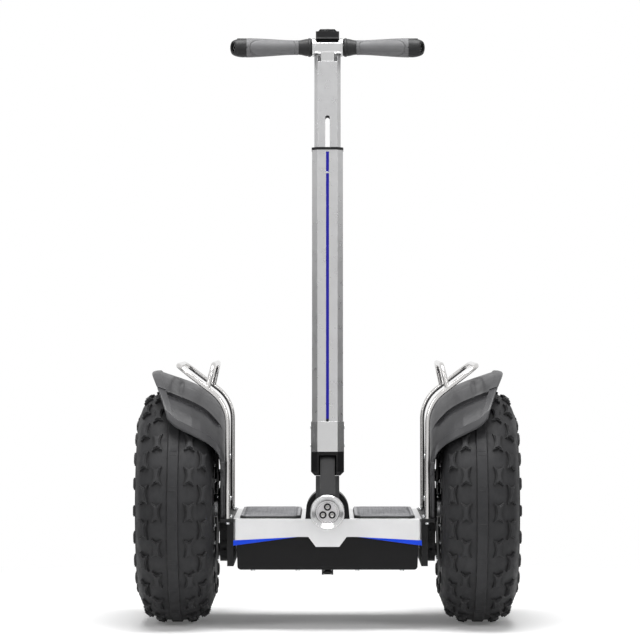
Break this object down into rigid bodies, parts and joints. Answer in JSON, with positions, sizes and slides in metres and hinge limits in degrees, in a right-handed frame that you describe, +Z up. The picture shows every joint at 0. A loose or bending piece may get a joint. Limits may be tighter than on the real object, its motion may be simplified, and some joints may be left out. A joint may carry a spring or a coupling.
{
  "type": "self balancing personal transporter",
  "caption": "Self balancing personal transporter with two off-road wheels, fenders with rails, foot mats and a leaning column with a height adjustable handlebar.",
  "frame": {"origin": "centre of the footprint on the ground, midway between the tyres and under the middle of the machine's depth", "axes": "+Z up; the machine looks along -Y; +X is the rider's left hand"},
  "size_m": [0.78, 0.4818, 1.2097],
  "materials": {
    "tyre_rubber": "matte",
    "rim_metal": "satin",
    "hub_steel": "satin",
    "bolt_steel": "satin",
    "black_plastic": "satin",
    "valve_rubber": "matte",
    "silver_deck": "satin",
    "black_metal": "satin",
    "bracket_steel": "satin",
    "gearbox_iron": "satin",
    "blue_light": "gloss",
    "battery_case": "satin",
    "board_green": "satin",
    "steel": "satin",
    "mat_rubber": "matte",
    "fender_plastic": "matte",
    "bright_rail": "polished",
    "bright_metal": "polished",
    "silver_tube": "satin",
    "neck_metal": "satin",
    "disc_metal": "satin",
    "lens_clear": "gloss",
    "grip_rubber": "matte",
    "grip_insert_rubber": "matte"
  },
  "bodies": {
    "chassis": {"deck_frame": "silver_deck", "lower_tub": "black_metal", "front_light_strips": "blue_light", "battery_pack": "battery_case", "control_board": "board_green", "balance_sensor_board": "board_green", "foot_switches": "board_green", "axle_bearings": "steel", "drive_motors": "steel", "charge_port": "black_plastic", "stand_bracket": "bracket_steel", "pivot_housing": "black_metal", "pivot_bearings": "steel", "lean_stops": "valve_rubber", "rail_bolts": "bolt_steel", "side_bracket_left": "bracket_steel", "side_bracket_right": "bracket_steel", "gearbox_left": "gearbox_iron", "gearbox_right": "gearbox_iron", "fender_left": "fender_plastic", "fender_right": "fender_plastic", "guard_rail_left": "bright_rail", "guard_rail_right": "bright_rail", "grab_handle_left": "bright_rail", "grab_handle_right": "bright_rail"},
    "left_wheel": {"tyre_left": "tyre_rubber", "rim_left": "rim_metal", "hub_left": "hub_steel", "hub_cap_left": "black_plastic", "wheel_bolts_left": "bolt_steel", "valve_left": "valve_rubber"},
    "right_wheel": {"tyre_right": "tyre_rubber", "rim_right": "rim_metal", "hub_right": "hub_steel", "hub_cap_right": "black_plastic", "wheel_bolts_right": "bolt_steel", "valve_right": "valve_rubber"},
    "column": {"pivot_shaft": "steel", "neck": "neck_metal", "headlight_bezel": "bright_metal", "headlight_disc": "disc_metal", "headlight_lenses": "lens_clear", "foot_collar": "black_metal", "bright_collar": "bright_metal", "outer_tube": "silver_tube", "tube_light_strip": "blue_light", "guide_bush": "black_plastic", "clamp_skewer": "steel"},
    "handlebar_post": {"inner_tube": "silver_tube", "handlebar": "bright_metal", "grips": "grip_rubber", "grip_inserts": "grip_insert_rubber", "display_housing": "black_plastic"},
    "power_button": {"power_button": "black_plastic"},
    "clamp_lever": {"clamp_lever": "steel"},
    "left_mat": {"foot_mat_left": "mat_rubber"},
    "right_mat": {"foot_mat_right": "mat_rubber"},
    "parking_stand": {"stand_leg": "steel", "stand_foot": "valve_rubber"},
    "socket_cap": {"charge_port_cap": "black_plastic"}
  },
  "joints": [
    {"name": "left_wheel_turn", "type": "hinge", "parent": "chassis", "child": "left_wheel", "pos_m": [0.308, 0, 0.2415], "axis": [1, 0, 0], "continuous": true},
    {"name": "right_wheel_turn", "type": "hinge", "parent": "chassis", "child": "right_wheel", "pos_m": [-0.308, 0, 0.2415], "axis": [1, 0, 0], "continuous": true},
    {"name": "column_lean", "type": "hinge", "parent": "chassis", "child": "column", "pos_m": [0, -0.136, 0.2415], "axis": [0, 1, 0], "range_deg": [-15, 15], "stiffness_Nm_per_rad": 120},
    {"name": "handlebar_height", "type": "slide", "parent": "column", "child": "handlebar_post", "axis": [0, 0.0523, 0.9986], "range_m": [-0.06, 0.12]},
    {"name": "power_button_press", "type": "slide", "parent": "handlebar_post", "child": "power_button", "axis": [0, -0.0523, -0.9986], "range_m": [0, 0.001], "stiffness_N_per_m": 1500, "springref_m": -0.001},
    {"name": "clamp_lever_open", "type": "hinge", "parent": "column", "child": "clamp_lever", "pos_m": [0.0199, -0.11432, 0.9412], "axis": [0, -0.0523, -0.9986], "range_deg": [0, 150]},
    {"name": "left_mat_press", "type": "slide", "parent": "chassis", "child": "left_mat", "axis": [0, 0, -1], "range_m": [0, 0.002], "stiffness_N_per_m": 20000, "springref_m": -0.001},
    {"name": "right_mat_press", "type": "slide", "parent": "chassis", "child": "right_mat", "axis": [0, 0, -1], "range_m": [0, 0.002], "stiffness_N_per_m": 20000, "springref_m": -0.001},
    {"name": "stand_fold", "type": "hinge", "parent": "chassis", "child": "parking_stand", "pos_m": [0, -0.12, 0.1145], "axis": [-1, 0, 0], "range_deg": [0, 88]},
    {"name": "socket_cap_swing", "type": "hinge", "parent": "chassis", "child": "socket_cap", "pos_m": [0.12, 0.1583, 0.22], "axis": [1, 0, 0], "range_deg": [0, 110]}
  ]
}
